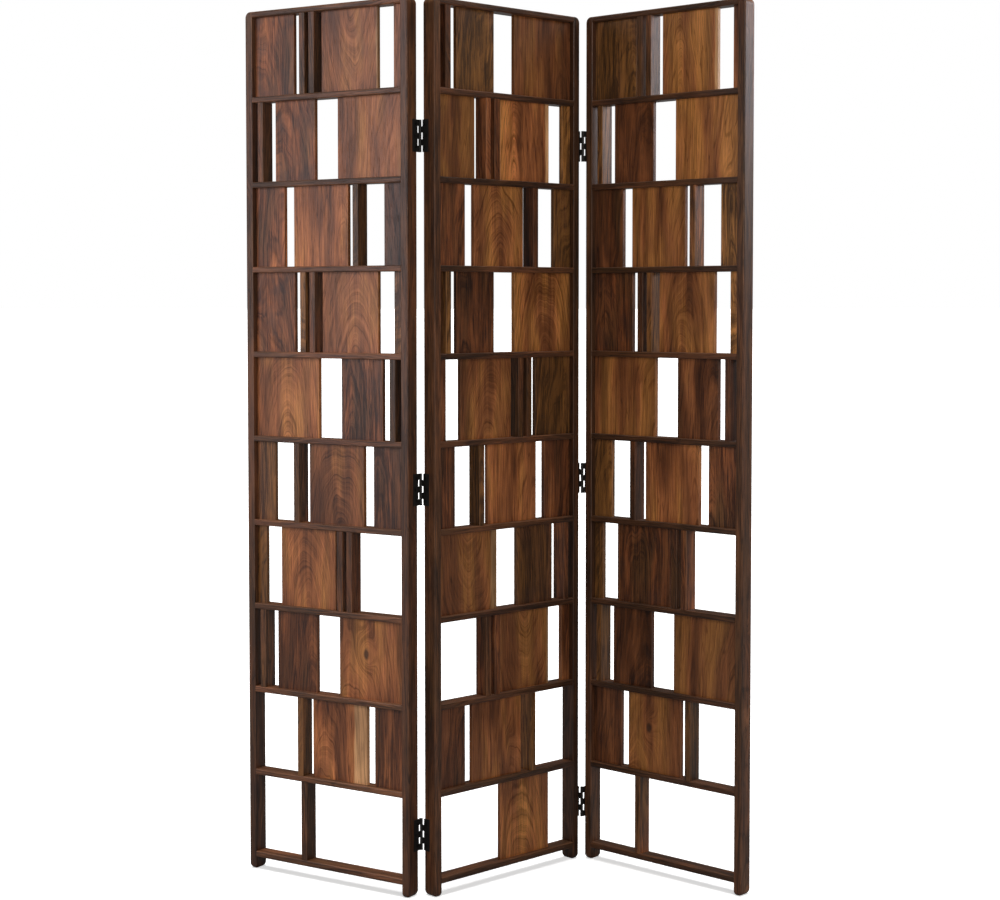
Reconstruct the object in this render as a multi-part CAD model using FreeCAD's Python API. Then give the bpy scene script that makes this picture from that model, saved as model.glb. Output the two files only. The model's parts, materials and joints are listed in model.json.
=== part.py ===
import FreeCAD, Part
import math
import os

# Folding room divider screen: three slatted wooden panels joined by two rows of butt hinges.
# Millimetres, +Z up, standing on z = 0, front towards -Y.
# Each panel is built flat in its own frame (x across, y from front to back, z up), then turned
# and set in place, so that the panels meet at the two lines of hinge pins.

vec = FreeCAD.Vector

# Panel
panel_width = 406.4
panel_height = 1778.0
stile_width = 17.0
stile_depth = 33.0
rail_height = 12.0
rail_inset = 0.3
foot_height = 25.0
rail_count = 11

# Edge and corner radii
outer_edge_radius = 3.0
inner_edge_radius = 1.5
shoulder_radius = 12.0
foot_radius = 8.0
foot_inner_radius = 4.0
rail_edge_radius = 2.0
slat_edge_radius = 1.0

# Flat boards sit in the middle of the frame; fins stand on edge and nearly fill its depth.
board_thickness = 9.5
fin_width = 14.0
fin_inset = 0.8

# Joinery: rails are tenoned into the stiles, slats have stub tenons let into the rails.
rail_tenon = (10.0, 22.0, 7.0)
stub_length = 2.5
stub_margin = 2.0
board_stub_depth = 6.0
fin_stub_depth = 20.0

# Butt hinges: the leaf lies on the stile's edge and the barrel stands clear of the face.
hinge_length = 63.5
hinge_heights = (122.0, 812.5, 1509.5)
knuckle_count = 5
knuckle_gap = 0.4
barrel_radius = 3.0
pin_radius = 1.6
running_gap = 0.05
pin_offset = 6.0
leaf_thickness = 1.5
leaf_cover = 16.0
screw_spots = ((-22.0, 6.0), (0.0, 10.5), (22.0, 6.0))
screw_radius = 1.7
screw_head_radius = 3.2
screw_length = 13.0
screw_slot = (0.9, 0.5)

# How far each panel is turned from the line of the screen, as it stands
left_turn = -31.8
middle_turn = 43.9
right_turn = -42.2

rail_pitch = (panel_height - foot_height - rail_height) / (rail_count - 1)
inner_left = stile_width
inner_right = panel_width - stile_width
mid_depth = stile_depth / 2.0


# Rows of slats, as (kind, start, end) across a panel
def mirrored(row):
    return [(kind, panel_width - end, panel_width - start) for kind, start, end in reversed(row)]


def fin(start):
    return ("fin", start, start + fin_width)


def board(start, end):
    return ("board", start, end)


row_twin = [board(inner_left, 118.0), fin(139.0), fin(163.0), board(188.0, 327.0), board(366.0, inner_right)]
row_wide = [fin(31.0), board(69.0, 171.0), board(228.0, inner_right)]
row_four = [board(inner_left, 92.0), board(116.0, 253.0), fin(272.0), board(342.0, inner_right)]
row_twin_far = [board(inner_left, 126.0), fin(135.5), fin(158.5), board(194.0, 332.0), board(370.5, inner_right)]
row_twin_open = mirrored(row_twin[1:])
row_three = [board(inner_left, 91.0), board(110.0, 247.0), fin(265.0)]
row_fin = [fin(136.0)]
row_single = [board(189.0, 327.0)]

# Ten rows for each panel, from the top down
left_rows = [row_twin, row_wide, row_four, row_twin, mirrored(row_wide), mirrored(row_four),
             row_twin_open, row_wide, mirrored(row_three), row_fin]
middle_rows = [row_wide, row_twin, row_four, row_wide, mirrored(row_twin), mirrored(row_four),
               mirrored(row_wide), mirrored(row_twin_open), row_three, row_single]
right_rows = [row_twin_far, row_wide, row_four, row_twin, mirrored(row_wide), mirrored(row_four),
              row_twin_open, row_wide, row_three, row_fin]


def block(x0, x1, y0, y1, z0, z1):
    return Part.makeBox(x1 - x0, y1 - y0, z1 - z0, vec(x0, y0, z0))


# A rectangle with its own radius at each corner, drawn in the plane that "spot" maps to,
# and pushed through by "through". Radii go round from the low corner.
def rounded_bar(spot, a0, b0, a1, b1, radii, through):
    corners = [(a0, b0, 1, 1), (a1, b0, -1, 1), (a1, b1, -1, -1), (a0, b1, 1, -1)]
    edges = []
    first = None
    last = None
    for index, (a, b, inwards_a, inwards_b) in enumerate(corners):
        radius = radii[index]
        if radius > 0:
            centre_a = a + inwards_a * radius
            centre_b = b + inwards_b * radius
            reach = radius * math.sqrt(0.5)
            on_b = spot(a, centre_b)
            on_a = spot(centre_a, b)
            middle = spot(centre_a - inwards_a * reach, centre_b - inwards_b * reach)
            start, end = (on_b, on_a) if index in (0, 2) else (on_a, on_b)
            arc = Part.Arc(start, middle, end).toShape()
        else:
            start = spot(a, b)
            end = start
            arc = None
        if last is None:
            first = start
        else:
            edges.append(Part.makeLine(last, start))
        if arc is not None:
            edges.append(arc)
        last = end
    edges.append(Part.makeLine(last, first))
    return Part.Face(Part.Wire(edges)).extrude(through)


def stile(outer_on_left):
    # Plan section, front outline and side outline, and what is common to all three
    outer = outer_edge_radius
    inner = inner_edge_radius
    if outer_on_left:
        x0 = 0.0
        plan_radii = (outer, inner, inner, outer)
        front_radii = (foot_radius, foot_inner_radius, 0, shoulder_radius)
    else:
        x0 = inner_right
        plan_radii = (inner, outer, outer, inner)
        front_radii = (foot_inner_radius, foot_radius, shoulder_radius, 0)
    x1 = x0 + stile_width
    plan = rounded_bar(lambda x, y: vec(x, y, 0), x0, 0, x1, stile_depth, plan_radii, vec(0, 0, panel_height))
    front = rounded_bar(lambda x, z: vec(x, -1, z), x0, 0, x1, panel_height, front_radii,
                        vec(0, stile_depth + 2, 0))
    side_radii = (foot_radius, foot_radius, outer, outer)
    side = rounded_bar(lambda y, z: vec(x0 - 1, y, z), 0, 0, stile_depth, panel_height, side_radii,
                       vec(stile_width + 2, 0, 0))
    return plan.common(front).common(side)


def rail_bottom(index):
    return foot_height + index * rail_pitch


def rail_tenons(z):
    length, depth, height = rail_tenon
    low = z + (rail_height - height) / 2
    near = mid_depth - depth / 2
    return [block(inner_left - length, inner_left, near, near + depth, low, low + height),
            block(inner_right, inner_right + length, near, near + depth, low, low + height)]


def rail(index, pockets):
    z = rail_bottom(index)
    top_radius = outer_edge_radius if index == rail_count - 1 else rail_edge_radius
    radii = (rail_edge_radius, rail_edge_radius, top_radius, top_radius)
    body = rounded_bar(lambda y, h: vec(inner_left, y, h), rail_inset, z, stile_depth - rail_inset,
                       z + rail_height, radii, vec(inner_right - inner_left, 0, 0))
    body = body.fuse(rail_tenons(z)).removeSplitter()
    near = [pocket for pocket in pockets if abs(pocket.CenterOfMass.z - z - rail_height / 2) < rail_height]
    if near:
        body = body.cut(near)
    return body.Solids[0]


# The stub tenons at the two ends of a slat that fills the opening between z0 and z1
def slat_stubs(kind, start, end, z0, z1):
    half = (fin_stub_depth if kind == "fin" else board_stub_depth) / 2
    x0 = start + stub_margin
    x1 = end - stub_margin
    return [block(x0, x1, mid_depth - half, mid_depth + half, z0 - stub_length, z0),
            block(x0, x1, mid_depth - half, mid_depth + half, z1, z1 + stub_length)]


def slat(kind, start, end, z0, z1):
    if kind == "fin":
        y0 = fin_inset
        y1 = stile_depth - fin_inset
    else:
        y0 = mid_depth - board_thickness / 2
        y1 = mid_depth + board_thickness / 2
    radii = [slat_edge_radius] * 4
    body = rounded_bar(lambda x, y: vec(x, y, z0), start, y0, end, y1, radii, vec(0, 0, z1 - z0))
    return body.fuse(slat_stubs(kind, start, end, z0, z1)).Solids[0]


# Hinge leaf on the edge of a stile. "side" is +1 on a panel's right edge and -1 on its left;
# "face" is +1 for a barrel behind the panel and -1 for one in front of it.
def pin_spot(side, face):
    x = panel_width + barrel_radius if side > 0 else -barrel_radius
    y = stile_depth + pin_offset if face > 0 else -pin_offset
    return x, y


def span(a, b):
    return min(a, b), max(a, b)


def screw(x, y, z, side):
    turn = vec(-side, 0, 0)
    head = Part.makeCone(screw_head_radius, screw_radius, leaf_thickness, vec(x, y, z), turn)
    tip_start = vec(x - side * (screw_length - 3), y, z)
    shank = Part.makeCylinder(screw_radius, screw_length - 3, vec(x, y, z), turn)
    tip = Part.makeCone(screw_radius, 0.3, 3, tip_start, turn)
    return head.fuse([shank, tip]).removeSplitter()


def screw_drive(x, y, z, side):
    width, depth = screw_slot
    x0, x1 = span(x, x - side * depth)
    reach = screw_head_radius - 0.7
    upright = block(x0, x1, y - width / 2, y + width / 2, z - reach, z + reach)
    level = block(x0, x1, y - reach, y + reach, z - width / 2, z + width / 2)
    return upright.fuse(level)


def leaf_and_screws(side, face, height, outer_knuckles):
    edge_x = panel_width if side > 0 else 0.0
    corner_y = stile_depth if face > 0 else 0.0
    pin_x, pin_y = pin_spot(side, face)
    low = height - hinge_length / 2
    pitch = hinge_length / knuckle_count
    x0, x1 = span(edge_x, edge_x + side * leaf_thickness)
    y0, y1 = span(corner_y - face * leaf_cover, corner_y)
    leaf = block(x0, x1, y0, y1, low, low + hinge_length)
    y0, y1 = span(corner_y, pin_y)
    parts = []
    bores = []
    for index in range(knuckle_count):
        if (index % 2 == 0) != outer_knuckles:
            continue
        z0 = low + index * pitch + (knuckle_gap / 2 if index > 0 else 0)
        z1 = low + (index + 1) * pitch - (knuckle_gap / 2 if index < knuckle_count - 1 else 0)
        parts.append(block(x0, x1, y0, y1, z0, z1))
        parts.append(Part.makeCylinder(barrel_radius, z1 - z0, vec(pin_x, pin_y, z0)))
    bore = pin_radius if outer_knuckles else pin_radius + running_gap
    bores.append(Part.makeCylinder(bore, hinge_length + 2, vec(pin_x, pin_y, low - 1)))
    screws = []
    for offset, inwards in screw_spots:
        x = edge_x + side * leaf_thickness
        y = corner_y - face * inwards
        fastener = screw(x, y, height + offset, side)
        bores.append(fastener)
        screws.append(fastener.cut(screw_drive(x, y, height + offset, side)))
    leaf = leaf.fuse(parts).removeSplitter().cut(bores)
    return leaf.Solids[0], screws, bores[1:]


def hinge_pin(side, face, height):
    x, y = pin_spot(side, face)
    pin = Part.makeCylinder(pin_radius, hinge_length - 0.4, vec(x, y, height - hinge_length / 2 + 0.2))
    return pin


# Where the panels stand: the middle one first, then the others from the hinge pins they share
def turned(point, turn):
    angle = math.radians(turn)
    x, y = point
    return x * math.cos(angle) - y * math.sin(angle), x * math.sin(angle) + y * math.cos(angle)


def moved(point, turn, shift):
    x, y = turned(point, turn)
    return x + shift[0], y + shift[1]


def shift_for(local, turn, target):
    x, y = turned(local, turn)
    return target[0] - x, target[1] - y


middle_shift = (0.0, 0.0)
back_pin = moved(pin_spot(-1, 1), middle_turn, middle_shift)
front_pin = moved(pin_spot(1, -1), middle_turn, middle_shift)
left_shift = shift_for(pin_spot(1, 1), left_turn, back_pin)
right_shift = shift_for(pin_spot(-1, -1), right_turn, front_pin)
stands = [(left_turn, left_shift), (middle_turn, middle_shift), (right_turn, right_shift)]

# The origin is the middle of the screen's footprint, from the centres of the rounded panel corners
corner_x = []
corner_y = []
for turn, shift in stands:
    for x in (outer_edge_radius, panel_width - outer_edge_radius):
        for y in (outer_edge_radius, stile_depth - outer_edge_radius):
            spot_x, spot_y = moved((x, y), turn, shift)
            corner_x.append(spot_x)
            corner_y.append(spot_y)
centre = ((min(corner_x) + max(corner_x)) / 2, (min(corner_y) + max(corner_y)) / 2)


def place(shape, turn, shift):
    shape = shape.copy()
    shape.rotate(vec(0, 0, 0), vec(0, 0, 1), turn)
    shape.translate(vec(shift[0] - centre[0], shift[1] - centre[1], 0))
    return shape


nodes = {}


def build_panel(name, rows, stile_names, edges):
    turn, shift = stands[("left", "middle", "right").index(name)]
    pieces = {}
    pockets = []
    for row_index, row in enumerate(rows):
        rail_below = rail_count - 2 - row_index
        z0 = rail_bottom(rail_below) + rail_height
        z1 = rail_bottom(rail_below + 1)
        slats = []
        for kind, start, end in row:
            slats.append(slat(kind, start, end, z0, z1))
            pockets += slat_stubs(kind, start, end, z0, z1)
        pieces["%s_row_%02d_slats" % (name, row_index + 1)] = slats
    rails = [rail(index, pockets) for index in range(rail_count)]
    pieces[name + "_bottom_rail"] = rails[:1]
    pieces[name + "_cross_rails"] = rails[1:-1]
    pieces[name + "_top_rail"] = rails[-1:]
    mortises = []
    for index in range(rail_count):
        mortises += rail_tenons(rail_bottom(index))
    holes = []
    screws = []
    for side, face, outer_knuckles, leaf_name, pin_name in edges:
        leaves = []
        pins = []
        for height in hinge_heights:
            leaf, leaf_screws, pilots = leaf_and_screws(side, face, height, outer_knuckles)
            leaves.append(leaf)
            screws += leaf_screws
            holes += pilots
            if pin_name:
                pins.append(hinge_pin(side, face, height))
        pieces[leaf_name] = leaves
        if pin_name:
            pieces[pin_name] = pins
    pieces[name + "_hinge_screws"] = screws
    for stile_name, outer_on_left in zip(stile_names, (True, False)):
        body = stile(outer_on_left).cut(mortises + holes)
        pieces[stile_name] = body.Solids
    for node, solids in pieces.items():
        placed = [place(solid, turn, shift) for solid in solids]
        nodes[node] = placed[0] if len(placed) == 1 else Part.makeCompound(placed)


build_panel("left", left_rows, ("left_stile_outer", "left_stile_hinge"),
            [(1, 1, True, "left_hinge_leaves", "back_hinge_pins")])
build_panel("middle", middle_rows, ("middle_stile_left", "middle_stile_right"),
            [(-1, 1, False, "middle_hinge_leaves_back", None), (1, -1, False, "middle_hinge_leaves_front", None)])
build_panel("right", right_rows, ("right_stile_hinge", "right_stile_outer"),
            [(-1, -1, True, "right_hinge_leaves", "front_hinge_pins")])

os.makedirs("parts", exist_ok=True)
for node, shape in nodes.items():
    shape.exportStep("parts/" + node + ".step")

print("nodes", len(nodes))
print("back pin (mm)", round(back_pin[0] - centre[0], 4), round(back_pin[1] - centre[1], 4))
print("front pin (mm)", round(front_pin[0] - centre[0], 4), round(front_pin[1] - centre[1], 4))
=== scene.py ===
import bpy
import bmesh
import json
import math
import random
from mathutils import Matrix, Vector


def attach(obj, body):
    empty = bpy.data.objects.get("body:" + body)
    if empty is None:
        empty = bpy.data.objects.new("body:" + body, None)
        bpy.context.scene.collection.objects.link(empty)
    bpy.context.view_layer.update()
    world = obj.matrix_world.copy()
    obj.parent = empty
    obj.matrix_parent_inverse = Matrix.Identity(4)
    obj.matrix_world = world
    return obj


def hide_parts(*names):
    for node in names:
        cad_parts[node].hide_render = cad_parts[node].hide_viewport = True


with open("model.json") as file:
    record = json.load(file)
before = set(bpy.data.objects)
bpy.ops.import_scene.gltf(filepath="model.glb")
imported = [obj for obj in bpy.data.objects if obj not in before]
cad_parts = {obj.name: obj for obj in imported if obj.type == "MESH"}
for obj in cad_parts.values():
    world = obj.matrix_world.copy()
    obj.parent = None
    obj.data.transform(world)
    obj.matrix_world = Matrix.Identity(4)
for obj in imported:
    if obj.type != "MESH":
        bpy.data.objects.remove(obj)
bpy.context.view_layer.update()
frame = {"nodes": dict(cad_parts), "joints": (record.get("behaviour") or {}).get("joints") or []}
print("frame loaded")

mm = 0.001
chance = random.Random(41)   # every random draw below comes from this, in order

# One panel's sizes, in millimetres
panelSize = {
    "width": 406.4, "height": 1778.0, "depth": 33.0,
    "stileWidth": 17.0, "railHeight": 12.0, "railInset": 0.3, "railCount": 11, "footHeight": 25.0,
    "railEdge": 2.0, "topRailEdge": 3.0,
    "boardThickness": 9.5, "finWidth": 14.0, "finInset": 0.8, "slatEdge": 1.0,
    "barrelRadius": 3.0, "pinOffset": 6.0,
}
# How each panel stands, which pin it hangs on, and the looks of its frame (its left upright first). The
# marks on the frame looks are painted light and shade: an upright is stepped lighter where light falls on
# it and darker where it is shaded.
panels = {
    "left": {"body": "left_panel", "turn": -31.8, "joint": "left_fold", "pinSide": 1, "pinFace": 1,
             "railLook": "frame+",
             "uprights": {"left_stile_outer": "frame-", "left_stile_hinge": "frame"}},
    "middle": {"body": "middle_panel", "turn": 43.9, "joint": "left_fold", "pinSide": -1, "pinFace": 1,
               "railLook": "frame",
               "uprights": {"middle_stile_left": "frame++", "middle_stile_right": "frame-"}},
    "right": {"body": "right_panel", "turn": -42.2, "joint": "right_fold", "pinSide": -1, "pinFace": -1,
              "railLook": "frame--",
              "uprights": {"right_stile_hinge": "frame-", "right_stile_outer": "frame+"}},
}
jointPlace = {joint["name"]: Vector(joint["pos_m"]) for joint in frame["joints"]}


# Where a hinge pin is in a panel's own frame: side +1 is its right edge, face +1 its back
def pinSpot(side, face):
    x = panelSize["width"] + panelSize["barrelRadius"] if side > 0 else -panelSize["barrelRadius"]
    y = panelSize["depth"] + panelSize["pinOffset"] if face > 0 else -panelSize["pinOffset"]
    return Vector((x, y, 0)) * mm


for setup in panels.values():
    spin = Matrix.Rotation(math.radians(setup["turn"]), 4, "Z")
    pin = jointPlace[setup["joint"]].copy()
    pin.z = 0
    setup["shift"] = pin - spin @ pinSpot(setup["pinSide"], setup["pinFace"])
    setup["matrix"] = Matrix.Translation(setup["shift"]) @ spin
    setup["pieces"] = []


# One socket of a node tree, so that sums on sockets are written as plain expressions
class Wire:
    def __init__(self, bench, socket):
        self.bench = bench
        self.socket = socket

    def __add__(self, other):
        return self.bench.maths("ADD", self, other)

    def __sub__(self, other):
        return self.bench.maths("SUBTRACT", self, other)

    def __rsub__(self, other):
        return self.bench.maths("SUBTRACT", other, self)

    def __mul__(self, other):
        return self.bench.maths("MULTIPLY", self, other)

    def __truediv__(self, other):
        return self.bench.maths("DIVIDE", self, other)

    def __pow__(self, other):
        return self.bench.maths("POWER", self, other)

    def __gt__(self, other):
        return self.bench.maths("GREATER_THAN", self, other)

    def __abs__(self):
        return self.bench.maths("ABSOLUTE", self)

    __radd__ = __add__
    __rmul__ = __mul__


# A node tree to work on: every node is made by node(), settings first and sockets after
class Bench:
    def __init__(self, tree):
        self.tree = tree

    def node(self, kind, settings=None, sockets=None, output=0):
        made = self.tree.nodes.new(kind)
        for name, value in (settings or {}).items():
            if name == "stops":
                ramp = made.color_ramp
                while len(ramp.elements) < len(value):
                    ramp.elements.new(0.5)
                for element, (position, colour) in zip(ramp.elements, value):
                    element.position = position
                    element.color = (*colour, 1.0)
            else:
                setattr(made, name, value)
        for key, value in (sockets or {}).items():
            if isinstance(key, int):
                socket = made.inputs[key]
            else:
                socket = next(s for s in made.inputs if key in (s.identifier, s.name))
            if isinstance(value, Wire):
                self.tree.links.new(value.socket, socket)
            else:
                socket.default_value = value
        if not made.outputs:
            return None
        if isinstance(output, int):
            return Wire(self, made.outputs[output])
        return Wire(self, next(s for s in made.outputs if output in (s.identifier, s.name)))

    def maths(self, operation, *values):
        return self.node("ShaderNodeMath", {"operation": operation}, dict(enumerate(values)))

    def vector(self, operation, first, second):
        return self.node("ShaderNodeVectorMath", {"operation": operation}, {0: first, 1: second})

    def join(self, x, y, z):
        return self.node("ShaderNodeCombineXYZ", None, {0: x, 1: y, 2: z})

    def split(self, vector):
        parts = self.node("ShaderNodeSeparateXYZ", None, {0: vector})
        return [Wire(self, socket) for socket in parts.socket.node.outputs]

    def blend(self, share, first, second):
        return self.node("ShaderNodeMix", {"data_type": "RGBA"},
                         {"Factor_Float": share, "A_Color": first, "B_Color": second}, "Result_Color")

    def slope(self, value, low, high, start=0.0, end=1.0):
        return self.node("ShaderNodeMapRange", {"interpolation_type": "SMOOTHSTEP"},
                         {0: value, 1: low, 2: high, 3: start, 4: end})

    def noise(self, place, detail=2.0, roughness=0.5, scale=1.0):
        return self.node("ShaderNodeTexNoise", {"noise_dimensions": "3D"},
                         {"Vector": place, "Scale": scale, "Detail": detail, "Roughness": roughness})

    def attribute(self, name, output="Vector"):
        return self.node("ShaderNodeAttribute", {"attribute_name": name}, None, output)

    # One value where the camera looks straight at a surface, another for all other light
    def whenSeen(self, seenValue, otherwise):
        seen = self.node("ShaderNodeLightPath", None, None, "Is Camera Ray")
        return seen * (seenValue - otherwise) + otherwise


def newMaterial(name):
    material = bpy.data.materials.new(name)
    material.use_nodes = True
    material.node_tree.nodes.clear()
    return material, Bench(material.node_tree)


def finishSurface(bench, sockets):
    shader = bench.node("ShaderNodeBsdfPrincipled", None, sockets)
    bench.node("ShaderNodeOutputMaterial", None, {"Surface": shader})


# Oiled hardwood. Growth rings run round a pith that leans through each piece, which gives the
# arches and bowls on flat faces and the straight grain on edges. Lengths are in millimetres,
# and a scale is how fast a pattern changes across and along the grain.
slatPalette = {
    "dark": [(0.0, (0.070, 0.029, 0.007)), (0.3, (0.050, 0.019, 0.007)), (0.55, (0.060, 0.016, 0.005)),
             (0.8, (0.140, 0.042, 0.009)), (1.0, (0.170, 0.062, 0.011))],
    "light": [(0.0, (0.37, 0.155, 0.040)), (0.3, (0.27, 0.110, 0.040)), (0.55, (0.33, 0.106, 0.036)),
              (0.8, (0.53, 0.188, 0.065)), (1.0, (0.59, 0.243, 0.068))],
    "sapwood": (0.68, 0.40, 0.19, 1), "worn": (0.46, 0.23, 0.11, 1),
    "ringSpacing": 8.0, "roughness": 0.37, "bump": 0.35,
}
framePalette = {
    "dark": [(0.0, (0.036, 0.016, 0.006)), (0.5, (0.042, 0.016, 0.006)), (1.0, (0.052, 0.016, 0.006))],
    "light": [(0.0, (0.20, 0.092, 0.032)), (0.5, (0.20, 0.078, 0.031)), (1.0, (0.22, 0.073, 0.030))],
    "sapwood": (0.34, 0.20, 0.09, 1), "worn": (0.27, 0.14, 0.075, 1),
    "ringSpacing": 6.0, "roughness": 0.40, "bump": 0.35,
}
woodFigure = {
    "slowScale": (0.016, 0.0045), "quickScale": (0.08, 0.008), "shiftScale": (0.05, 0.01),
    "fibreScale": (0.62, 0.012), "poreScale": (1.5, 0.05), "hueScale": (0.026, 0.005),
    "bandScale": (0.034, 0.004), "cloudScale": (0.022, 0.012), "sapScale": (0.03, 0.006),
    "wearScale": (0.12, 0.02), "seedSteps": (13.7, 7.9, 3.1), "ringSeed": 11.0, "ringAlong": 0.03,
    "slowWander": 32.0, "quickWander": 3.0, "knotSwell": 1.3, "knotLength": 0.62, "ringShift": 6.0,
    "lateSharpness": 5.0,
    "streakScale": (0.045, 0.05, 1.0), "lineScale": (0.46, 0.2, 1.0), "ridgeScale": (0.085, 0.12, 2.0),
    "veinLimits": (0.016, 0.002), "poreLimits": (0.60, 0.72),
    "streaks": 1.5, "lines": 2.0, "fibres": 3.0, "late": 0.16, "vein": 0.34, "balance": 0.54,
    "hueDrift": 1.1, "bandLimits": (0.34, 0.66, 0.66, 1.30), "cloudLimits": (0.46, 0.68),
    "cloudTone": (0.030, 0.020, 0.019, 1), "poreTone": (0.020, 0.011, 0.007, 1), "poreShare": 0.45,
    "sapRagged": 14.0, "sapLimits": (-1.5, 4.0), "sapDeep": (0.24, 0.115, 0.045, 1), "sapShare": 0.8,
    "eyeTone": (0.022, 0.011, 0.007, 1), "eyeLimits": (0.42, 0.16), "eyeShare": 0.8,
    "wearRagged": 2.4, "wearLimits": (1.3, 0.1), "wearShare": 0.30,
    "bumpDepth": 0.0006, "refraction": 1.48,
}


def woodMaterial(name, palette):
    figure = woodFigure
    material, bench = newMaterial(name)
    spot = bench.node("ShaderNodeVectorMath", {"operation": "SCALE"},
                      {0: bench.attribute("grain"), "Scale": 1 / mm})
    x, y, z = bench.split(spot)
    halfX, halfY = bench.split(bench.attribute("halfSize"))[:2]
    pithX, pithY, lean = bench.split(bench.attribute("pith"))
    hue, light, contrast = bench.split(bench.attribute("tint"))
    sapEdge, sapSide, smoke = bench.split(bench.attribute("sapwood"))
    knotX, knotZ, knotSize = bench.split(bench.attribute("knot"))
    seed = bench.attribute("seed", "Fac")
    away = bench.join(*[seed * step for step in figure["seedSteps"]])

    def grainNoise(scale, detail=2.0, roughness=0.5):
        across, along = figure[scale]
        place = bench.vector("MULTIPLY", spot, (across, across, along))
        return bench.noise(bench.vector("ADD", place, away), detail, roughness)

    # Distance from the pith, pushed about by slow and quick wander and swelling round a knot
    fromPithX = x - pithX
    fromPithY = y - pithY - lean * z
    radius = (fromPithX * fromPithX + fromPithY * fromPithY) ** 0.5
    wander = ((grainNoise("slowScale", 1.0) - 0.5) * figure["slowWander"]
              + (grainNoise("quickScale", 1.0) - 0.5) * figure["quickWander"])
    knotReach = ((x - knotX) ** 2.0 + ((z - knotZ) * figure["knotLength"]) ** 2.0) ** 0.5
    swell = bench.maths("EXPONENT", (knotReach / knotSize) ** 2.0 * -1.0)
    ring = radius + wander + swell * knotSize * figure["knotSwell"]
    ringPlace = bench.join(ring, z * figure["ringAlong"], seed * figure["ringSeed"])

    # Streaks, lines and thin dark veins follow the rings; fibres and pores run along the piece
    streaks = bench.noise(bench.vector("MULTIPLY", ringPlace, figure["streakScale"]), 3.0, 0.6)
    lines = bench.noise(bench.vector("MULTIPLY", ringPlace, figure["lineScale"]), 4.0, 0.75)
    ridge = bench.noise(bench.vector("MULTIPLY", ringPlace, figure["ridgeScale"]), 2.0, 0.5)
    vein = bench.slope(abs(ridge - 0.5), *figure["veinLimits"])
    phase = (ring + (grainNoise("shiftScale") - 0.5) * figure["ringShift"]) / palette["ringSpacing"]
    late = bench.maths("FRACT", phase) ** figure["lateSharpness"]
    fibres = grainNoise("fibreScale", 5.0, 0.75)
    pores = bench.slope(grainNoise("poreScale"), *figure["poreLimits"])
    pattern = ((streaks - 0.5) * figure["streaks"] + (lines - 0.5) * figure["lines"]
               + (fibres - 0.5) * figure["fibres"]) * contrast
    share = bench.node("ShaderNodeClamp", None, {
        0: pattern - late * figure["late"] - vein * figure["vein"] + figure["balance"]})

    # Broad bands along the grain drift in hue and in lightness, as heartwood runs out to sapwood
    hueHere = hue + (grainNoise("hueScale") - 0.5) * figure["hueDrift"]
    band = bench.slope(grainNoise("bandScale", 2.0, 0.6), *figure["bandLimits"])
    dark = bench.node("ShaderNodeValToRGB", {"stops": palette["dark"]}, {0: hueHere})
    pale = bench.node("ShaderNodeValToRGB", {"stops": palette["light"]}, {0: hueHere})
    colour = bench.blend(share, dark, pale)

    # Smoky heartwood clouds, pores, sapwood along one side and the dark eye of a knot
    cloud = bench.slope(grainNoise("cloudScale", 3.0, 0.6), *figure["cloudLimits"]) * smoke
    colour = bench.blend(cloud, colour, figure["cloudTone"])
    colour = bench.blend(pores * figure["poreShare"], colour, figure["poreTone"])
    sapReach = (x - sapEdge) * sapSide + (grainNoise("sapScale") - 0.5) * figure["sapRagged"]
    sapHere = bench.slope(sapReach, *figure["sapLimits"]) * abs(sapSide)
    sapTone = bench.blend(share * 0.8 + 0.25, figure["sapDeep"], palette["sapwood"])
    colour = bench.blend(sapHere * figure["sapShare"], colour, sapTone)
    eyeOuter, eyeInner = [knotSize * limit for limit in figure["eyeLimits"]]
    eye = bench.slope(knotReach, eyeOuter, eyeInner) * (knotSize > 0.5)
    colour = bench.blend(eye * figure["eyeShare"], colour, figure["eyeTone"])

    # Handling wears the eased edges paler and drier
    edgeGap = bench.maths("MAXIMUM", halfX * (1 / mm) - abs(x), halfY * (1 / mm) - abs(y))
    ragged = (grainNoise("wearScale", 3.0) - 0.5) * figure["wearRagged"]
    wear = bench.slope(edgeGap + ragged, *figure["wearLimits"])
    colour = bench.blend(wear * figure["wearShare"], colour, palette["worn"])
    level = light * band
    colour = bench.vector("MULTIPLY", colour, bench.join(level, level, level))

    roughness = (palette["roughness"] + (1.0 - share) * 0.08 + wear * 0.10 + (fibres - 0.5) * 0.16
                 + pores * 0.15)
    height = lines * 0.35 + fibres * 0.35 - pores * 0.8 - late * 0.25
    bump = bench.node("ShaderNodeBump", None, {
        "Strength": palette["bump"], "Distance": figure["bumpDepth"], "Height": height})
    finishSurface(bench, {"Base Color": colour, "Roughness": roughness, "Normal": bump,
                          "IOR": figure["refraction"]})
    return material


ironFinish = {"colour": (0.030, 0.028, 0.026), "worn": (0.075, 0.07, 0.065, 1), "metallic": 0.35,
              "roughness": 0.46}
screwFinish = {"colour": (0.045, 0.043, 0.041), "worn": (0.16, 0.15, 0.14, 1), "metallic": 0.8,
               "roughness": 0.36}
metalFigure = {"fineScale": 900.0, "broadScale": 90.0, "toneGains": (0.7, 1.4), "rubLimits": (0.60, 0.78),
               "rubShare": 0.35, "roughSpread": 0.2, "bump": 0.25, "bumpDepth": 0.0002}


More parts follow.
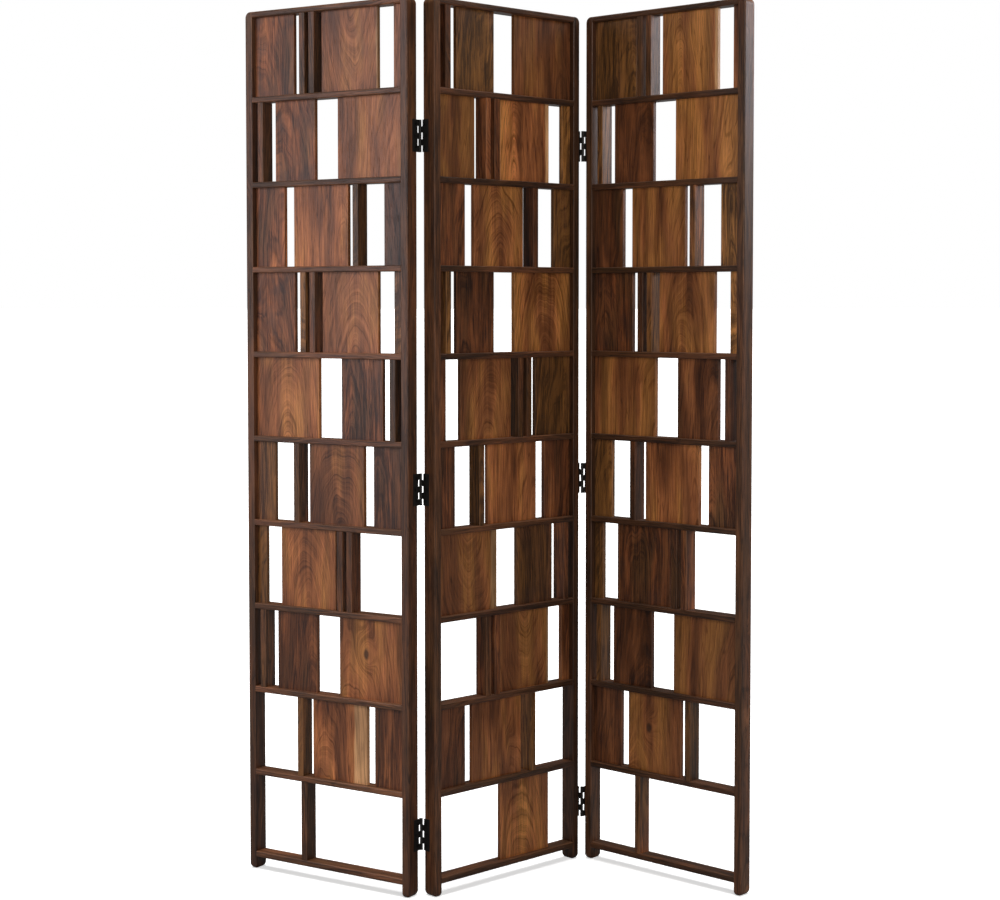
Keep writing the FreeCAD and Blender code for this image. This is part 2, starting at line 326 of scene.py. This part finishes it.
def metalMaterial(name, finish):
    figure = metalFigure
    material, bench = newMaterial(name)
    place = bench.node("ShaderNodeTexCoord", None, None, "Object")
    fine = bench.noise(place, 3.0, 0.6, figure["fineScale"])
    broad = bench.noise(place, 3.0, 0.6, figure["broadScale"])
    rub = bench.slope(broad, *figure["rubLimits"])
    deep, bright = [(*[part * gain for part in finish["colour"]], 1) for gain in figure["toneGains"]]
    tone = bench.blend(fine * 0.5 + broad * 0.3, deep, bright)
    tone = bench.blend(rub * figure["rubShare"], tone, finish["worn"])
    bump = bench.node("ShaderNodeBump", None, {
        "Strength": figure["bump"], "Distance": figure["bumpDepth"], "Height": fine * 0.7 + broad})
    roughness = finish["roughness"] + (fine - 0.5) * figure["roughSpread"]
    finishSurface(bench, {"Base Color": tone, "Metallic": finish["metallic"], "Roughness": roughness,
                          "Normal": bump})
    return material


slatWood = woodMaterial("oiled board wood", slatPalette)
frameWood = woodMaterial("walnut frame wood", framePalette)
blackIron = metalMaterial("black hinge iron", ironFinish)
darkSteel = metalMaterial("blackened screw steel", screwFinish)
print("materials made")

barShape = {"core": 0.008, "cornerSteps": 3}   # the small prism's width in metres, taken off again


# Geometry Nodes: eased bars. Each point of the input mesh carries a bar's half sizes; the bar is
# a small eased prism whose corners are pushed out to those sizes, so every edge keeps its radius.
def barTree():
    tree = bpy.data.node_groups.new("eased bars", "GeometryNodeTree")
    tree.is_modifier = True
    inputs = {"Bars": "Geometry", "Edge radius": "Float", "Lay along": "Float", "Panel turn": "Float",
              "Panel shift": "Vector", "Wood": "Material"}
    for name, kind in inputs.items():
        tree.interface.new_socket(name=name, in_out="INPUT", socket_type="NodeSocket" + kind)
    tree.interface.new_socket(name="Bars", in_out="OUTPUT", socket_type="NodeSocketGeometry")
    bench = Bench(tree)
    given = {s.name: Wire(bench, s) for s in bench.node("NodeGroupInput").socket.node.outputs}
    place = bench.node("GeometryNodeInputPosition")
    core = barShape["core"]

    def shadedSmooth(geometry, smooth, faces=True):
        return bench.node("GeometryNodeSetShadeSmooth", {"domain": "FACE"},
                          {"Geometry": geometry, "Selection": faces, "Shade Smooth": smooth})

    def compared(operation, first, second):
        return bench.node("FunctionNodeCompare", {"data_type": "FLOAT", "operation": operation},
                          {0: first, 1: second})

    def stored(name):
        return bench.node("GeometryNodeInputNamedAttribute", {"data_type": "FLOAT_VECTOR"},
                          {"Name": name})

    def storing(geometry, name, value):
        return bench.node("GeometryNodeStoreNamedAttribute",
                          {"data_type": "FLOAT_VECTOR", "domain": "POINT"},
                          {"Geometry": geometry, "Name": name, "Value": value})

    line = bench.node("GeometryNodeCurvePrimitiveLine", {"mode": "POINTS"},
                      {"Start": (0, 0, -core / 2), "End": (0, 0, core / 2)})
    outline = bench.node("GeometryNodeCurvePrimitiveQuadrilateral", {"mode": "RECTANGLE"},
                         {"Width": core, "Height": core})
    outline = bench.node("GeometryNodeFilletCurve", {"mode": "POLY"}, {
        "Curve": outline, "Radius": given["Edge radius"], "Count": barShape["cornerSteps"]})
    prism = bench.node("GeometryNodeCurveToMesh", None,
                       {"Curve": line, "Profile Curve": outline, "Fill Caps": True})
    # Only the rounded corners are shaded smooth, not the flat sides and ends
    normalX, normalY, normalZ = bench.split(bench.node("GeometryNodeInputNormal"))
    flatSide = compared("LESS_THAN", abs(normalX) * abs(normalY) + abs(normalZ), 0.01)
    endFace = compared("GREATER_THAN", abs(normalZ), 0.9)
    prism = shadedSmooth(prism, True)
    prism = shadedSmooth(prism, False, flatSide)
    prism = shadedSmooth(prism, False, endFace)

    bars = storing(given["Bars"], "spot", place)
    bars = bench.node("GeometryNodeInstanceOnPoints", None, {"Points": bars, "Instance": prism})
    bars = bench.node("GeometryNodeRealizeInstances", None, {"Geometry": bars})
    local = bench.vector("SUBTRACT", place, stored("spot"))
    side = bench.node("ShaderNodeVectorMath", {"operation": "SIGN"}, {0: local})
    push = bench.vector("MULTIPLY", side, bench.vector("SUBTRACT", stored("halfSize"), (core / 2,) * 3))
    bars = storing(bars, "grain", bench.vector("ADD", local, push))
    laid = bench.node("ShaderNodeVectorRotate", {"rotation_type": "Y_AXIS"},
                      {"Vector": stored("grain"), "Angle": given["Lay along"]})
    bars = bench.node("GeometryNodeSetPosition", None,
                      {"Geometry": bars, "Position": bench.vector("ADD", laid, stored("spot"))})
    spin = bench.join(0.0, 0.0, given["Panel turn"])
    bars = bench.node("GeometryNodeTransform", None,
                      {"Geometry": bars, "Rotation": spin, "Translation": given["Panel shift"]})
    bars = bench.node("GeometryNodeSetMaterial", None, {"Geometry": bars, "Material": given["Wood"]})
    bench.node("NodeGroupOutput", None, {"Bars": bars})
    return tree


def runTree(piece, tree, values):
    live = piece.modifiers.new("tree", "NODES")
    live.node_group = tree
    names = {item.name: item.identifier for item in tree.interface.items_tree
             if item.item_type == "SOCKET" and item.in_out == "INPUT"}
    for name, value in values.items():
        live[names[name]] = value
    bpy.context.view_layer.update()
    graph = bpy.context.evaluated_depsgraph_get()
    mesh = bpy.data.meshes.new_from_object(piece.evaluated_get(graph), preserve_all_data_layers=True,
                                           depsgraph=graph)
    piece.modifiers.clear()
    piece.data = mesh


# Each column is one value for every vertex, or a list with a value for each
def setAttributes(mesh, columns):
    for name, column in columns.items():
        values = column if isinstance(column, list) else [column] * len(mesh.vertices)
        if isinstance(values[0], float):
            attribute = mesh.attributes.new(name, "FLOAT", "POINT")
            attribute.data.foreach_set("value", values)
        else:
            attribute = mesh.attributes.new(name, "FLOAT_VECTOR", "POINT")
            attribute.data.foreach_set("vector", [number for vector in values for number in vector])


def newPiece(name, mesh):
    piece = bpy.data.objects.new(name, mesh)
    bpy.context.scene.collection.objects.link(piece)
    return piece


# How the pieces of wood look. hue runs 0 olive, 0.3 walnut, 0.55 plum, 0.8 orange, 1 honey.
# pith is where the rings centre, across the piece and behind its face, and how it leans.
# sapwood is where it starts and on which side; knot is across, along, size. Millimetres.
woodLooks = {
    "frame": {"hue": 0.5, "light": 0.9, "contrast": 1.3, "pith": (-60, 40, 0.02), "smoke": 0.3},
    "plumSmoky": {"hue": 0.50, "light": 1.0, "contrast": 1.1, "pith": (-40, 70, 0.10), "smoke": 0.55},
    "plumRed": {"hue": 0.60, "light": 1.0, "contrast": 1.3, "pith": (50, 60, 0.08), "smoke": 0.2},
    "plumDark": {"hue": 0.50, "light": 0.75, "contrast": 1.8, "pith": (-30, 50, 0.05), "smoke": 0.4},
    "olive": {"hue": 0.05, "light": 1.0, "contrast": 1.9, "pith": (30, 90, 0.05), "smoke": 0.2},
    "walnut": {"hue": 0.30, "light": 0.7, "contrast": 1.7, "pith": (-60, 40, 0.05), "smoke": 0.3},
    "honeyBowl": {"hue": 0.88, "light": 1.0, "contrast": 0.8, "pith": (6, 36, -0.24), "smoke": 0.15,
                  "sapwood": (64, 1)},
    "russetBowl": {"hue": 0.74, "light": 0.82, "contrast": 0.85, "pith": (6, 36, -0.24), "smoke": 0.25,
                   "sapwood": (66, 1)},
    "russetPlain": {"hue": 0.76, "light": 0.92, "contrast": 0.8, "pith": (90, 60, 0.10), "smoke": 0.1},
    "honeyPeak": {"hue": 0.88, "light": 1.0, "contrast": 0.85, "pith": (-4, 40, 0.26), "smoke": 0.1},
    "honeyPlain": {"hue": 0.92, "light": 1.0, "contrast": 0.65, "pith": (90, 60, 0.10), "smoke": 0.05},
    "orangePeak": {"hue": 0.80, "light": 1.0, "contrast": 0.9, "pith": (8, 34, 0.30), "smoke": 0.1},
    "orangeStreak": {"hue": 0.78, "light": 1.0, "contrast": 0.85, "pith": (60, 30, 0.06), "smoke": 0.1},
    "orangeSap": {"hue": 0.82, "light": 1.0, "contrast": 0.9, "pith": (-30, 30, 0.16), "smoke": 0.1,
                  "sapwood": (57, 1)},
    "orangeWideSap": {"hue": 0.79, "light": 1.0, "contrast": 0.9, "pith": (-30, 30, 0.16), "smoke": 0.1,
                      "sapwood": (36, 1)},
    "honeySap": {"hue": 0.95, "light": 0.9, "contrast": 0.8, "pith": (-30, 30, 0.16), "smoke": 0.05,
                 "sapwood": (60, 1)},
    "orangeKnot": {"hue": 0.82, "light": 1.0, "contrast": 0.75, "pith": (-50, 50, 0.12), "smoke": 0.1,
                   "knot": (-14, 10, 22)},
}
# How far two pieces of the same look stray from each other. A look may end in marks that step
# # its lightness: + for each step up and - for each step down. The steps are partly each piece's own
# # tone and partly painted light and shade: pieces the lamps here leave too dark are stepped lighter, and
# pieces they leave too bright are stepped darker.
lookSpread = {"toneAndShadeStep": 1.22, "pithShift": 14, "pithDepth": (0.85, 1.2), "lean": (0.8, 1.2),
              "hue": 0.04, "light": (0.95, 1.05), "seeds": 40.0}


def lookColumns(names, halfSizes):
    spread = lookSpread
    columns = {"halfSize": halfSizes, "pith": [], "tint": [], "sapwood": [], "knot": [], "seed": []}
    for name in names:
        look = woodLooks[name.rstrip("+-")]
        steps = name.count("+") - name.count("-")
        x, y, lean = look["pith"]
        columns["pith"].append((x + chance.uniform(-spread["pithShift"], spread["pithShift"]),
                                y * chance.uniform(*spread["pithDepth"]),
                                lean * chance.uniform(*spread["lean"])))
        # the steps put painted light and shade into the colour as well as the piece's own tone
        light = look["light"] * spread["toneAndShadeStep"] ** steps
        columns["tint"].append((look["hue"] + chance.uniform(-spread["hue"], spread["hue"]),
                                light * chance.uniform(*spread["light"]), look["contrast"]))
        columns["sapwood"].append((*look.get("sapwood", (0, 0)), look["smoke"]))
        columns["knot"].append(look.get("knot", (0, 0, 0)))
        columns["seed"].append(chance.uniform(0.0, spread["seeds"]))
    return columns


# Rows of slats across a panel, as (start, end); a fin stands on edge
innerLeft = panelSize["stileWidth"]
innerRight = panelSize["width"] - panelSize["stileWidth"]


def fin(start):
    return (start, start + panelSize["finWidth"])


def mirrored(row):
    return [(panelSize["width"] - end, panelSize["width"] - start) for start, end in reversed(row)]


rowShapes = {
    "twin": [(innerLeft, 118.0), fin(139.0), fin(163.0), (188.0, 327.0), (366.0, innerRight)],
    "wide": [fin(31.0), (69.0, 171.0), (228.0, innerRight)],
    "four": [(innerLeft, 92.0), (116.0, 253.0), fin(272.0), (342.0, innerRight)],
    "twinFar": [(innerLeft, 126.0), fin(135.5), fin(158.5), (194.0, 332.0), (370.5, innerRight)],
    "three": [(innerLeft, 91.0), (110.0, 247.0), fin(265.0)],
    "fin": [fin(136.0)],
    "single": [(189.0, 327.0)],
}
rowShapes["twinOpenBack"] = rowShapes["twin"][1:]
rowShapes["twinOpen"] = mirrored(rowShapes["twinOpenBack"])
for shape in ("twin", "wide", "four", "three"):
    rowShapes[shape + "Back"] = mirrored(rowShapes[shape])

# Each panel's ten rows from the top, and the look of every slat from left to right. The marks on the looks
# are partly the boards' own tone and partly painted light and shade, stepping boards lighter where the
# panel is lit too little and darker where it is lit too much.
panelRows = {
    "left": [
        ("twin", "plumSmoky walnut- walnut- russetBowl plumRed-"),
        ("wide", "walnut plumSmoky russetPlain"),
        ("four", "plumRed+ orangeStreak+ olive---- plumDark---"),
        ("twin", "plumSmoky olive walnut+ orangePeak- olive"),
        ("wideBack", "orangePeak plumDark walnut---"),
        ("fourBack", "olive- walnut orangePeak-- plumDark"),
        ("twinOpen", "olive- orangePeak walnut plumDark-"),
        ("wide", "walnut plumRed-- orangeKnot"),
        ("threeBack", "olive-- orangeWideSap+ plumRed--"),
        ("fin", "walnut"),
    ],
    "middle": [
        ("wide", "plumDark olive+ orangeStreak-"),
        ("twin", "honeyPlain- plumDark++ plumDark+ orangeSap+++ olive++++"),
        ("four", "plumRed++ honeyPeak++ plumDark-- olive"),
        ("wide", "olive+ plumDark honeyPeak++"),
        ("twinBack", "plumRed- orangePeak walnut+ plumDark olive-"),
        ("fourBack", "plumDark+ olive orangeStreak++ plumRed"),
        ("wideBack", "honeyBowl walnut++ plumDark++"),
        ("twinOpenBack", "plumDark+++ plumDark+ honeyBowl plumRed"),
        ("three", "plumRed- orangeStreak+ olive+"),
        ("single", "honeyPeak++"),
    ],
    "right": [
        ("twinFar", "olive- walnut walnut+ honeySap++ plumRed++"),
        ("wide", "olive- plumRed-- honeyPlain+"),
        ("four", "plumRed-- honeyPlain walnut++++ olive++"),
        ("twin", "plumDark walnut--- olive- honeyPeak olive++++"),
        ("wideBack", "honeyPlain plumRed- plumDark---"),
        ("fourBack", "olive plumDark-- orangeStreak+ plumDark++"),
        ("twinOpen", "olive- plumDark+ plumDark plumDark+++"),
        ("wide", "olive-- plumRed---- honeyPlain-"),
        ("three", "plumRed-- orangeKnot olive---"),
        ("fin", "walnut+++"),
    ],
}

easedBars = barTree()
topRail = panelSize["railCount"] - 1
railPitch = (panelSize["height"] - panelSize["footHeight"] - panelSize["railHeight"]) / topRail


def railBottom(index):
    return panelSize["footHeight"] + index * railPitch


# One object for a group of bars, each given by its centre and half sizes in millimetres
def addBars(name, setup, spots, halves, looks, values, nodes):
    mesh = bpy.data.meshes.new(name)
    mesh.from_pydata([tuple(c * mm for c in spot) for spot in spots], [], [])
    setAttributes(mesh, lookColumns(looks, [tuple(c * mm for c in half) for half in halves]))
    piece = newPiece(name, mesh)
    runTree(piece, easedBars, {"Panel turn": math.radians(setup["turn"]),
                               "Panel shift": tuple(setup["shift"]), **values})
    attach(piece, setup["body"])
    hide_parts(*nodes)
    setup["pieces"].append(piece)


def addSlats(side, setup):
    spots = []
    halves = []
    names = []
    for index, (shape, looks) in enumerate(panelRows[side]):
        low = railBottom(topRail - 1 - index) + panelSize["railHeight"]
        high = railBottom(topRail - index)
        for (start, end), look in zip(rowShapes[shape], looks.split(), strict=True):
            isFin = end - start < panelSize["finWidth"] + 0.1
            thick = panelSize["depth"] - 2 * panelSize["finInset"] if isFin else panelSize["boardThickness"]
            spots.append(((start + end) / 2, panelSize["depth"] / 2, (low + high) / 2))
            halves.append(((end - start) / 2, thick / 2, (high - low) / 2))
            names.append(look)
    nodes = ["%s_row_%02d_slats" % (side, row + 1) for row in range(len(panelRows[side]))]
    values = {"Edge radius": panelSize["slatEdge"] * mm, "Lay along": 0.0, "Wood": slatWood}
    addBars(side + "Slats", setup, spots, halves, names, values, nodes)


# A rail is a bar laid on its side
def addRails(name, side, setup, indexes, radius, nodes):
    half = (panelSize["railHeight"] / 2, panelSize["depth"] / 2 - panelSize["railInset"],
            (innerRight - innerLeft) / 2)
    spots = [((innerLeft + innerRight) / 2, panelSize["depth"] / 2,
              railBottom(index) + panelSize["railHeight"] / 2) for index in indexes]
    values = {"Edge radius": radius * mm, "Lay along": math.radians(90), "Wood": frameWood}
    addBars(side + name, setup, spots, [half] * len(spots), [setup["railLook"]] * len(spots), values,
            [side + "_" + node for node in nodes])


for side, setup in panels.items():
    addSlats(side, setup)
    addRails("Rails", side, setup, range(topRail), panelSize["railEdge"], ["cross_rails", "bottom_rail"])
    addRails("TopRail", side, setup, [topRail], panelSize["topRailEdge"], ["top_rail"])
    print(side, "panel filled")

# An upright: a stack of rounded outlines from front to back, drawn in by the edge rounding
uprightShape = {"outerEdge": 3.0, "innerEdge": 1.5, "topEdge": 3.0, "footEdge": 8.0,
                "shoulder": 12.0, "outerFoot": 8.0, "innerFoot": 4.0, "cornerSteps": 6,
                "edgeAngles": range(0, 91, 18)}


def drawnIn(radius, y):
    depth = min(y, panelSize["depth"] - y)
    if depth >= radius:
        return 0.0
    return radius - math.sqrt(radius * radius - (radius - depth) ** 2)


# Where the outlines are from front to back: close together where the edges are rounded
def uprightDepths():
    radii = {uprightShape[key] for key in ("outerEdge", "innerEdge", "topEdge", "footEdge")}
    front = sorted({round(radius * (1 - math.cos(math.radians(angle))), 4) for radius in radii
                    for angle in uprightShape["edgeAngles"]})
    return front + [panelSize["depth"] - depth for depth in reversed(front)]


# The corners of one outline: place, which way the piece lies, first angle and radius
def uprightCorners(y, outerOnLeft):
    shape = uprightShape
    outer, inner = drawnIn(shape["outerEdge"], y), drawnIn(shape["innerEdge"], y)
    top, foot = drawnIn(shape["topEdge"], y), drawnIn(shape["footEdge"], y)
    insets = (outer, inner) if outerOnLeft else (inner, outer)
    left, right = insets[0], panelSize["stileWidth"] - insets[1]
    high = panelSize["height"] - top
    feet = [shape["outerFoot"] - outer, shape["innerFoot"] - inner * 0.5]
    shoulders = [0.0, shape["shoulder"] - max(outer, top)]
    radii = feet + shoulders if outerOnLeft else feet[::-1] + shoulders[::-1]
    places = [(left, foot, 1, 1, 180), (right, foot, -1, 1, 270), (right, high, -1, -1, 0),
              (left, high, 1, -1, 90)]
    return [(*place, radius) for place, radius in zip(places, radii)]


def uprightMesh(name, outerOnLeft):
    build = bmesh.new()
    rings = []
    for y in uprightDepths():
        ring = []
        for x, z, inX, inZ, start, radius in uprightCorners(y, outerOnLeft):
            steps = uprightShape["cornerSteps"] if radius > 0 else 0
            for step in range(steps + 1):
                angle = math.radians(start + 90 * step / max(steps, 1))
                ring.append(build.verts.new(((x + inX * radius + radius * math.cos(angle)) * mm, y * mm,
                                             (z + inZ * radius + radius * math.sin(angle)) * mm)))
        rings.append(ring)
    for near, far in zip(rings, rings[1:]):
        for index in range(len(near)):
            after = (index + 1) % len(near)
            build.faces.new((near[index], near[after], far[after], far[index]))
    build.faces.new(list(reversed(rings[0])))
    build.faces.new(rings[-1])
    bmesh.ops.remove_doubles(build, verts=build.verts, dist=1e-6)
    bmesh.ops.recalc_face_normals(build, faces=build.faces)
    for face in build.faces:
        face.smooth = max(abs(c) for c in face.normal) < 0.999
    mesh = bpy.data.meshes.new(name)
    build.to_mesh(mesh)
    build.free()
    return mesh


for setup in panels.values():
    for (node, lookName), outerOnLeft in zip(setup["uprights"].items(), (True, False)):
        name = node.replace("_", " ").title().replace(" ", "")
        mesh = uprightMesh(name, outerOnLeft)
        halfSize = Vector((panelSize["stileWidth"], panelSize["depth"], panelSize["height"])) / 2 * mm
        look = {key: value[0] for key, value in lookColumns([lookName], [tuple(halfSize)]).items()}
        look["grain"] = [tuple(vertex.co - halfSize) for vertex in mesh.vertices]
        setAttributes(mesh, look)
        offset = 0.0 if outerOnLeft else innerRight * mm
        mesh.transform(setup["matrix"] @ Matrix.Translation((offset, 0, 0)))
        mesh.materials.append(frameWood)
        upright = newPiece(name, mesh)
        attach(upright, setup["body"])
        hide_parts(node)
        setup["pieces"].append(upright)
print("uprights made")

# The hinges' own pieces stay as drawn and only get their finish
for name, node in frame["nodes"].items():
    if "leaves" in name or "pins" in name:
        finish = blackIron
    elif "screws" in name:
        finish = darkSteel
    else:
        continue
    node.data.materials.clear()
    node.data.materials.append(finish)
print("hinges finished")

studio = {"floorTone": 0.95, "floorBounce": 0.26, "floorGlow": 0.6, "floorMottle": 0.01,
          "fill": 0.04, "backdrop": 1.0, "reach": 400.0}
floorMesh = bpy.data.meshes.new("floor")
corners = [(x * studio["reach"], y * studio["reach"], 0) for x, y in ((-1, -1), (1, -1), (1, 1), (-1, 1))]
floorMesh.from_pydata(corners, [], [(0, 1, 2, 3)])
floor = newPiece("floor", floorMesh)
floorPaint, bench = newMaterial("pale studio floor")
mottle = bench.noise(bench.node("ShaderNodeTexCoord", None, None, "Object"), 4.0, 0.6, 6.0)
level = (bench.whenSeen(studio["floorTone"], studio["floorBounce"])
         + (mottle - 0.5) * studio["floorMottle"])
glow = bench.whenSeen(studio["floorGlow"], 0.0)
finishSurface(bench, {"Base Color": bench.join(level, level, level), "Roughness": 0.7 + mottle * 0.1,
                      "Specular IOR Level": 0.2, "Emission Color": bench.join(glow, glow, glow),
                      "Emission Strength": 1.0})
floorMesh.materials.append(floorPaint)

world = bpy.data.worlds.new("studio")
bpy.context.scene.world = world
world.use_nodes = True
world.node_tree.nodes.clear()
bench = Bench(world.node_tree)
backdrop = bench.node("ShaderNodeBackground", None, {
    "Color": (1, 1, 1, 1), "Strength": bench.whenSeen(studio["backdrop"], studio["fill"])})
bench.node("ShaderNodeOutputWorld", None, {"Surface": backdrop})

# Black flags keep most lights off some panels: a light that names panels reaches only those
softLights = {
    "frontSoftbox": {"place": (1.1, -3.6, 2.1), "aim": (0, 0, 0.9), "size": (1.8, 2.0), "watts": 25,
                     "colour": (1.0, 0.96, 0.91), "reached": []},
    "leftSoftbox": {"place": (-2.71, -1.58, 1.8), "aim": (-0.1, 0, 1.15), "size": (1.5, 2.2), "watts": 34,
                    "colour": (1.0, 0.93, 0.98), "reached": ["left"]},
    "leftFill": {"place": (0.4, -3.6, 2.0), "aim": (-0.35, 0, 1.0), "size": (1.6, 1.6), "watts": 21,
                 "colour": (1.0, 0.94, 1.0), "reached": ["left"]},
    "middleHighLight": {"place": (1.3, -0.06, 2.35), "aim": (0.03, 0, 1.6), "size": (0.7, 0.5),
                        "watts": 2.4, "colour": (1.0, 0.97, 0.95), "reached": ["middle"]},
    "rightFill": {"place": (-0.6, -3.4, 2.1), "aim": (0.34, 0, 1.0), "size": (1.6, 1.6), "watts": 22,
                  "colour": (1.0, 0.95, 0.88), "reached": ["right"]},
    "rightSoftbox": {"place": (2.4, 0.75, 2.2), "aim": (0.45, -0.1, 1.4), "size": (1.1, 1.2),
                     "watts": 27, "colour": (0.98, 0.95, 1.0), "reached": ["right"]},
    "rightRim": {"place": (-2.6, -0.45, 1.9), "aim": (0.45, -0.1, 1.4), "size": (0.3, 1.4),
                 "watts": 3.5, "colour": (1.0, 0.97, 1.0), "reached": ["right"]},
}
for name, lamp in softLights.items():
    data = bpy.data.lights.new(name, "AREA")
    data.shape = "RECTANGLE"
    data.size, data.size_y = lamp["size"]
    data.energy = lamp["watts"]
    data.color = lamp["colour"]
    box = bpy.data.objects.new(name, data)
    box.location = lamp["place"]
    towards = Vector(lamp["aim"]) - Vector(lamp["place"])
    box.rotation_euler = towards.to_track_quat("-Z", "Y").to_euler()
    bpy.context.scene.collection.objects.link(box)
    if lamp["reached"]:
        lit = bpy.data.collections.new(name + " reach")
        for side in lamp["reached"]:
            for piece in panels[side]["pieces"]:
                lit.objects.link(piece)
        box.light_linking.receiver_collection = lit

overheadLight = {"strength": 3.7, "angle": 34}
data = bpy.data.lights.new("overhead", "SUN")
data.energy = overheadLight["strength"]
data.angle = math.radians(overheadLight["angle"])
overhead = bpy.data.objects.new("overhead", data)
overhead.location = (0, 0, 4)
bpy.context.scene.collection.objects.link(overhead)

cameraSetup = {"place": (0.0483, -3.9405, 1.181), "sensor": 36.0, "lens": 69.57,
               "shift": (-0.0111, -0.06), "tilt": 2.57, "turn": 0.206}
lens = bpy.data.cameras.new("camera")
lens.sensor_width = cameraSetup["sensor"]
lens.lens = cameraSetup["lens"]
lens.shift_x, lens.shift_y = cameraSetup["shift"]
camera = bpy.data.objects.new("camera", lens)
camera.location = cameraSetup["place"]
camera.rotation_euler = (math.radians(90 - cameraSetup["tilt"]), 0, math.radians(cameraSetup["turn"]))
bpy.context.scene.collection.objects.link(camera)
bpy.context.scene.camera = camera
bpy.context.scene.view_settings.view_transform = "Standard"
print("studio set")
